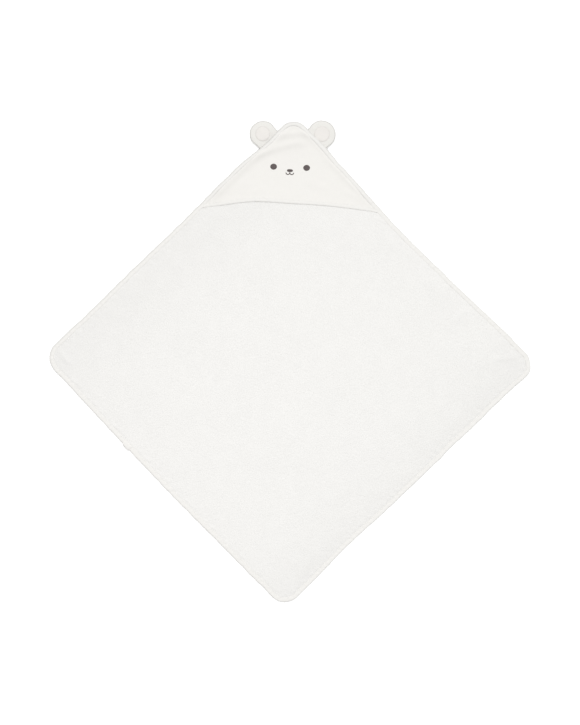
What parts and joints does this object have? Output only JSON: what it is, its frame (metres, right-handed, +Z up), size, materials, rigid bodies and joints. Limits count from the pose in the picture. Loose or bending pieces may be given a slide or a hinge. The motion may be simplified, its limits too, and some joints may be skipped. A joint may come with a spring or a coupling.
{
  "type": "hooded baby towel",
  "caption": "Square cotton terry towel for a baby, with a hood sewn over one corner, an animal face, round ears and a bound edge; its corners fold in round the child.",
  "frame": {"origin": "centre of the square on its underside, as it lies flat with the hood's face up", "axes": "+Y from the centre to the hood's tip, +Z up out of the hooded face, +X to the right when looking down with the hood at the top"},
  "size_m": [1.0416, 1.0458, 0.0079],
  "materials": {
    "terry": "cotton terry with short loops on both faces",
    "binding_cloth": "smooth narrow cotton knit strip",
    "hood_cloth": "smooth sheared cotton knit",
    "lining_cloth": "fine cotton terry",
    "ear_cloth": "short sheared pile",
    "inner_ear_cloth": "smooth cotton knit, faint pink",
    "interlining": "thin non-woven sheet",
    "white_thread": "twisted polyester sewing thread",
    "face_thread": "satin-stitched embroidery thread, dark grey-brown",
    "label_satin": "woven satin ribbon, left blank"
  },
  "bodies": {
    "towel": {"terry_centre": "terry", "binding_centre": "binding_cloth", "edge_thread_centre": "white_thread"},
    "left_wing": {"terry_left_wing": "terry", "binding_left_wing": "binding_cloth", "edge_thread_left_wing": "white_thread", "care_label": "label_satin"},
    "right_wing": {"terry_right_wing": "terry", "binding_right_wing": "binding_cloth", "edge_thread_right_wing": "white_thread"},
    "foot": {"terry_foot": "terry", "binding_foot": "binding_cloth", "edge_thread_foot": "white_thread"},
    "hood_corner": {"terry_hood_corner": "terry", "binding_hood_corner": "binding_cloth", "edge_thread_hood_corner": "white_thread"},
    "hood_front": {"hood_shell": "hood_cloth", "hood_lining": "lining_cloth", "hood_hem_binding": "binding_cloth", "hood_hem_thread": "white_thread", "left_eye": "face_thread", "right_eye": "face_thread", "nose": "face_thread", "mouth": "face_thread", "embroidery_backing": "interlining"},
    "left_ear": {"left_ear_back": "ear_cloth", "left_ear_interlining": "interlining", "left_ear_front": "ear_cloth", "left_inner_ear": "inner_ear_cloth", "left_inner_ear_thread": "white_thread"},
    "right_ear": {"right_ear_back": "ear_cloth", "right_ear_interlining": "interlining", "right_ear_front": "ear_cloth", "right_inner_ear": "inner_ear_cloth", "right_inner_ear_thread": "white_thread"}
  },
  "joints": [
    {"name": "left_wing_fold", "type": "hinge", "parent": "towel", "child": "left_wing", "pos_m": [-0.285, 0, 0.005], "axis": [0, 1, 0], "range_deg": [0, 175]},
    {"name": "right_wing_fold", "type": "hinge", "parent": "towel", "child": "right_wing", "pos_m": [0.285, 0, 0.005], "axis": [0, -1, 0], "range_deg": [0, 175]},
    {"name": "foot_fold", "type": "hinge", "parent": "towel", "child": "foot", "pos_m": [0, -0.29, 0.005], "axis": [-1, 0, 0], "range_deg": [0, 175]},
    {"name": "hood_fold", "type": "hinge", "parent": "towel", "child": "hood_corner", "pos_m": [0, 0.322, 0.0055], "axis": [1, 0, 0], "range_deg": [0, 100]},
    {"name": "hood_open", "type": "hinge", "parent": "hood_corner", "child": "hood_front", "pos_m": [0, 0.51467, 0.0051], "axis": [-1, 0, 0], "range_deg": [0, 35]},
    {"name": "left_ear_flop", "type": "hinge", "parent": "hood_corner", "child": "left_ear", "pos_m": [-0.05233, 0.48508, 0.0042], "axis": [0.7071, 0.7071, 0], "range_deg": [0, 90]},
    {"name": "right_ear_flop", "type": "hinge", "parent": "hood_corner", "child": "right_ear", "pos_m": [0.05233, 0.48508, 0.0042], "axis": [0.7071, -0.7071, 0], "range_deg": [0, 90]}
  ]
}
